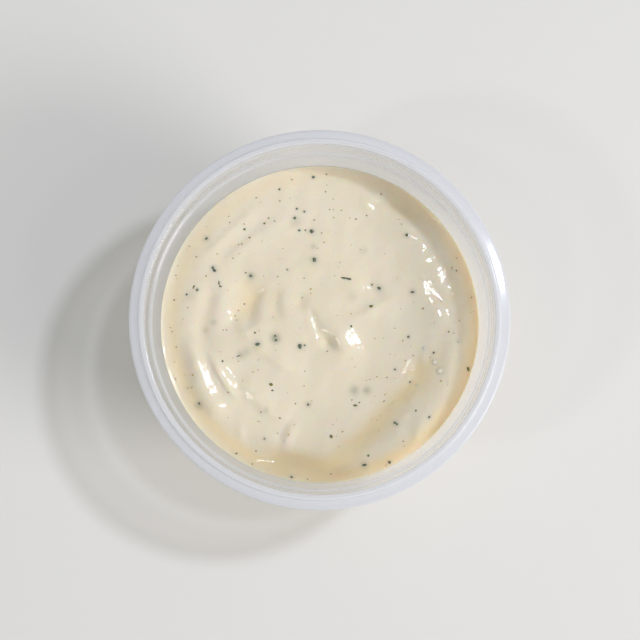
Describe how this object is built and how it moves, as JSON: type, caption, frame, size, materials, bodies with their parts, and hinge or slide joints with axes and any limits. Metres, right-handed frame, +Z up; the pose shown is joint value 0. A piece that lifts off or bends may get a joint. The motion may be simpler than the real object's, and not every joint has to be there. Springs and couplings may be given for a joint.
{
  "type": "ranch dip",
  "caption": "Swirled cream-coloured ranch dip with herb flakes in a round clear portion cup with a rolled rim and no lid.",
  "frame": {"origin": "centre of the cup's foot, on the surface that it stands on", "axes": "+Z up along the cup's axis; +Y is the top of the picture, +X its right"},
  "size_m": [0.074, 0.074, 0.042],
  "materials": {
    "cup": "clear polypropylene, slightly milky, smooth and glossy",
    "dip": "thick cream-coloured dip, wet and glossy, with swirl marks",
    "herb": "dried green herb flakes, wet on top",
    "spice": "ground pepper and spice specks"
  },
  "bodies": {
    "root": {"cup": "cup", "dip": "dip"}
  },
  "joints": []
}
